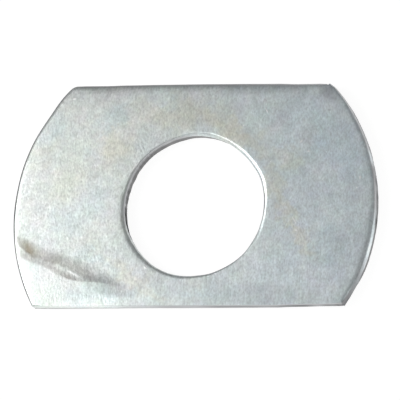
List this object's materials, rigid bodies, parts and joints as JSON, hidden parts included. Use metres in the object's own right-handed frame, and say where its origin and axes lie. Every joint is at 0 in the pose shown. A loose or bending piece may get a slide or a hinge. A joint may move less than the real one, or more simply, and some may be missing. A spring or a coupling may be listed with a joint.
{
  "type": "flat-sided washer",
  "caption": "Flat steel washer: a round blank cut out of narrower sheared strip, with a punched round hole and two parallel flats, bright zinc plated.",
  "frame": {"origin": "on the hole's axis, in the middle of the plate's thickness", "axes": "+Z along the hole's axis, out of the front face with the rolled edges; +X along the flats"},
  "size_m": [0.073, 0.0445, 0.0032],
  "materials": {
    "zinc_plated_steel": "bright zinc plating with a clear chromate, satin"
  },
  "bodies": {
    "root": {"washer": "zinc_plated_steel"}
  },
  "joints": []
}
